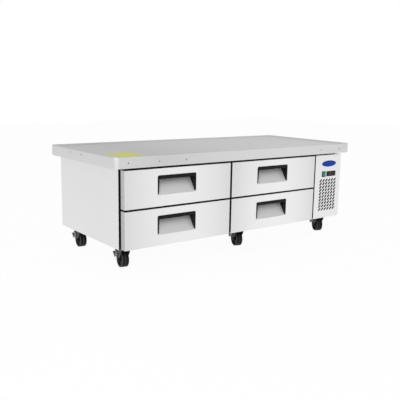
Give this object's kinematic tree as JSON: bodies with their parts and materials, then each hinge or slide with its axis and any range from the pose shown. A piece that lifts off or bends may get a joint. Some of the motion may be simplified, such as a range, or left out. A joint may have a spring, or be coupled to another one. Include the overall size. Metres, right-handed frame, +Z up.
{
  "type": "refrigerated chef base",
  "caption": "Low refrigerated counter on casters, with pull-out drawers under a heavy steel worktop with a raised rim and a slotted machine compartment at one end.",
  "frame": {"origin": "on the floor, under the middle of the worktop", "axes": "+X along the length, towards the machine compartment; -Y out of the drawer fronts; +Z up"},
  "size_m": [1.93, 0.838, 0.676],
  "materials": {
    "stainless_worktop": "satin",
    "stainless_panel": "satin",
    "stainless_front": "satin",
    "stainless_grille": "satin",
    "galvanised": "matte",
    "aluminium": "satin",
    "foam": "matte",
    "black_plastic": "satin",
    "gasket_rubber": "matte",
    "tread_rubber": "satin",
    "zinc": "satin",
    "caster_paint": "satin",
    "compressor_paint": "satin",
    "switch_green": "gloss",
    "display_window": "gloss",
    "nameplate_blue": "gloss",
    "film_yellow": "satin"
  },
  "bodies": {
    "cabinet": {"worktop": "stainless_worktop", "worktop_core": "foam", "left_end_panel": "stainless_panel", "right_end_panel": "stainless_panel", "back_panel": "galvanised", "base_pan": "galvanised", "face_frame": "black_plastic", "inner_liner": "aluminium", "insulation": "foam", "left_tracks": "galvanised", "right_tracks": "galvanised", "centre_tracks": "galvanised", "grille_panel": "stainless_grille", "control_box": "black_plastic", "condenser": "aluminium", "compressor": "compressor_paint", "evaporator": "aluminium", "caster_front_left_plate": "caster_paint", "caster_front_middle_plate": "caster_paint", "caster_front_right_plate": "caster_paint", "caster_rear_left_plate": "caster_paint", "caster_rear_middle_plate": "caster_paint", "caster_rear_right_plate": "caster_paint"},
    "drawer_lower_left": {"drawer_lower_left_front": "stainless_front", "drawer_lower_left_pull": "black_plastic", "drawer_lower_left_gasket": "gasket_rubber", "drawer_lower_left_tray": "stainless_panel"},
    "drawer_lower_right": {"drawer_lower_right_front": "stainless_front", "drawer_lower_right_pull": "black_plastic", "drawer_lower_right_gasket": "gasket_rubber", "drawer_lower_right_tray": "stainless_panel"},
    "drawer_upper_left": {"drawer_upper_left_front": "stainless_front", "drawer_upper_left_pull": "black_plastic", "drawer_upper_left_gasket": "gasket_rubber", "drawer_upper_left_tray": "stainless_panel"},
    "drawer_upper_right": {"drawer_upper_right_front": "stainless_front", "drawer_upper_right_pull": "black_plastic", "drawer_upper_right_gasket": "gasket_rubber", "drawer_upper_right_tray": "stainless_panel"},
    "power_switch": {"power_switch": "switch_green"},
    "condenser_fan": {"condenser_fan": "black_plastic"},
    "evaporator_fan": {"evaporator_fan": "black_plastic"},
    "caster_front_left_fork": {"caster_front_left_fork": "caster_paint"},
    "caster_front_left_wheel": {"caster_front_left_wheel": "tread_rubber"},
    "caster_front_left_brake": {"caster_front_left_brake": "zinc"},
    "caster_front_middle_fork": {"caster_front_middle_fork": "caster_paint"},
    "caster_front_middle_wheel": {"caster_front_middle_wheel": "tread_rubber"},
    "caster_front_middle_brake": {"caster_front_middle_brake": "zinc"},
    "caster_front_right_fork": {"caster_front_right_fork": "caster_paint"},
    "caster_front_right_wheel": {"caster_front_right_wheel": "tread_rubber"},
    "caster_front_right_brake": {"caster_front_right_brake": "zinc"},
    "caster_rear_left_fork": {"caster_rear_left_fork": "caster_paint"},
    "caster_rear_left_wheel": {"caster_rear_left_wheel": "tread_rubber"},
    "caster_rear_left_brake": {"caster_rear_left_brake": "zinc"},
    "caster_rear_middle_fork": {"caster_rear_middle_fork": "caster_paint"},
    "caster_rear_middle_wheel": {"caster_rear_middle_wheel": "tread_rubber"},
    "caster_rear_middle_brake": {"caster_rear_middle_brake": "zinc"},
    "caster_rear_right_fork": {"caster_rear_right_fork": "caster_paint"},
    "caster_rear_right_wheel": {"caster_rear_right_wheel": "tread_rubber"},
    "caster_rear_right_brake": {"caster_rear_right_brake": "zinc"}
  },
  "joints": [
    {"name": "drawer_lower_left_slide", "type": "slide", "parent": "cabinet", "child": "drawer_lower_left", "axis": [0, -1, 0], "range_m": [0, 0.43]},
    {"name": "drawer_lower_right_slide", "type": "slide", "parent": "cabinet", "child": "drawer_lower_right", "axis": [0, -1, 0], "range_m": [0, 0.43]},
    {"name": "drawer_upper_left_slide", "type": "slide", "parent": "cabinet", "child": "drawer_upper_left", "axis": [0, -1, 0], "range_m": [0, 0.43]},
    {"name": "drawer_upper_right_slide", "type": "slide", "parent": "cabinet", "child": "drawer_upper_right", "axis": [0, -1, 0], "range_m": [0, 0.43]},
    {"name": "power_switch_rock", "type": "hinge", "parent": "cabinet", "child": "power_switch", "pos_m": [0.72375, -0.4003, 0.464], "axis": [1, 0, 0], "range_deg": [0, 16]},
    {"name": "condenser_fan_spin", "type": "hinge", "parent": "cabinet", "child": "condenser_fan", "pos_m": [0.77185, -0.2218, 0.2673], "axis": [0, 1, 0], "continuous": true},
    {"name": "evaporator_fan_spin", "type": "hinge", "parent": "cabinet", "child": "evaporator_fan", "pos_m": [0.24813, 0.3168, 0.3967], "axis": [0, 1, 0], "continuous": true},
    {"name": "caster_front_left_swivel", "type": "hinge", "parent": "cabinet", "child": "caster_front_left_fork", "pos_m": [-0.8145, -0.2627, 0.05], "axis": [0, 0, 1], "continuous": true},
    {"name": "caster_front_left_roll", "type": "hinge", "parent": "caster_front_left_fork", "child": "caster_front_left_wheel", "pos_m": [-0.80963, -0.22804, 0.05], "axis": [0.9903, -0.1392, 0], "continuous": true},
    {"name": "caster_front_left_brake_press", "type": "hinge", "parent": "caster_front_left_fork", "child": "caster_front_left_brake", "pos_m": [-0.80698, -0.20923, 0.08], "axis": [-0.9903, 0.1392, 0], "range_deg": [0, 12]},
    {"name": "caster_front_middle_swivel", "type": "hinge", "parent": "cabinet", "child": "caster_front_middle_fork", "pos_m": [0.064, -0.2627, 0.05], "axis": [0, 0, 1], "continuous": true},
    {"name": "caster_front_middle_roll", "type": "hinge", "parent": "caster_front_middle_fork", "child": "caster_front_middle_wheel", "pos_m": [0.07365, -0.22906, 0.05], "axis": [0.9613, -0.2756, 0], "continuous": true},
    {"name": "caster_front_middle_brake_press", "type": "hinge", "parent": "caster_front_middle_fork", "child": "caster_front_middle_brake", "pos_m": [0.07888, -0.21079, 0.08], "axis": [-0.9613, 0.2756, 0], "range_deg": [0, 12]},
    {"name": "caster_front_right_swivel", "type": "hinge", "parent": "cabinet", "child": "caster_front_right_fork", "pos_m": [0.864, -0.2627, 0.05], "axis": [0, 0, 1], "continuous": true},
    {"name": "caster_front_right_roll", "type": "hinge", "parent": "caster_front_right_fork", "child": "caster_front_right_wheel", "pos_m": [0.87768, -0.23048, 0.05], "axis": [0.9205, -0.3907, 0], "continuous": true},
    {"name": "caster_front_right_brake_press", "type": "hinge", "parent": "caster_front_right_fork", "child": "caster_front_right_brake", "pos_m": [0.8851, -0.21299, 0.08], "axis": [-0.9205, 0.3907, 0], "range_deg": [0, 12]},
    {"name": "caster_rear_left_swivel", "type": "hinge", "parent": "cabinet", "child": "caster_rear_left_fork", "pos_m": [-0.8145, 0.29, 0.05], "axis": [0, 0, 1], "continuous": true},
    {"name": "caster_rear_left_roll", "type": "hinge", "parent": "caster_rear_left_fork", "child": "caster_rear_left_wheel", "pos_m": [-0.81206, 0.32492, 0.05], "axis": [0.9976, -0.0698, 0], "continuous": true},
    {"name": "caster_rear_left_brake_press", "type": "hinge", "parent": "caster_rear_left_fork", "child": "caster_rear_left_brake", "pos_m": [-0.81073, 0.34387, 0.08], "axis": [-0.9976, 0.0698, 0], "range_deg": [0, 12]},
    {"name": "caster_rear_middle_swivel", "type": "hinge", "parent": "cabinet", "child": "caster_rear_middle_fork", "pos_m": [0.064, 0.29, 0.05], "axis": [0, 0, 1], "continuous": true},
    {"name": "caster_rear_middle_roll", "type": "hinge", "parent": "caster_rear_middle_fork", "child": "caster_rear_middle_wheel", "pos_m": [0.07128, 0.32423, 0.05], "axis": [0.9781, -0.2079, 0], "continuous": true},
    {"name": "caster_rear_middle_brake_press", "type": "hinge", "parent": "caster_rear_middle_fork", "child": "caster_rear_middle_brake", "pos_m": [0.07523, 0.34282, 0.08], "axis": [-0.9781, 0.2079, 0], "range_deg": [0, 12]},
    {"name": "caster_rear_right_swivel", "type": "hinge", "parent": "cabinet", "child": "caster_rear_right_fork", "pos_m": [0.864, 0.29, 0.05], "axis": [0, 0, 1], "continuous": true},
    {"name": "caster_rear_right_roll", "type": "hinge", "parent": "caster_rear_right_fork", "child": "caster_rear_right_wheel", "pos_m": [0.86947, 0.32457, 0.05], "axis": [0.9877, -0.1564, 0], "continuous": true},
    {"name": "caster_rear_right_brake_press", "type": "hinge", "parent": "caster_rear_right_fork", "child": "caster_rear_right_brake", "pos_m": [0.87245, 0.34334, 0.08], "axis": [-0.9877, 0.1564, 0], "range_deg": [0, 12]}
  ]
}
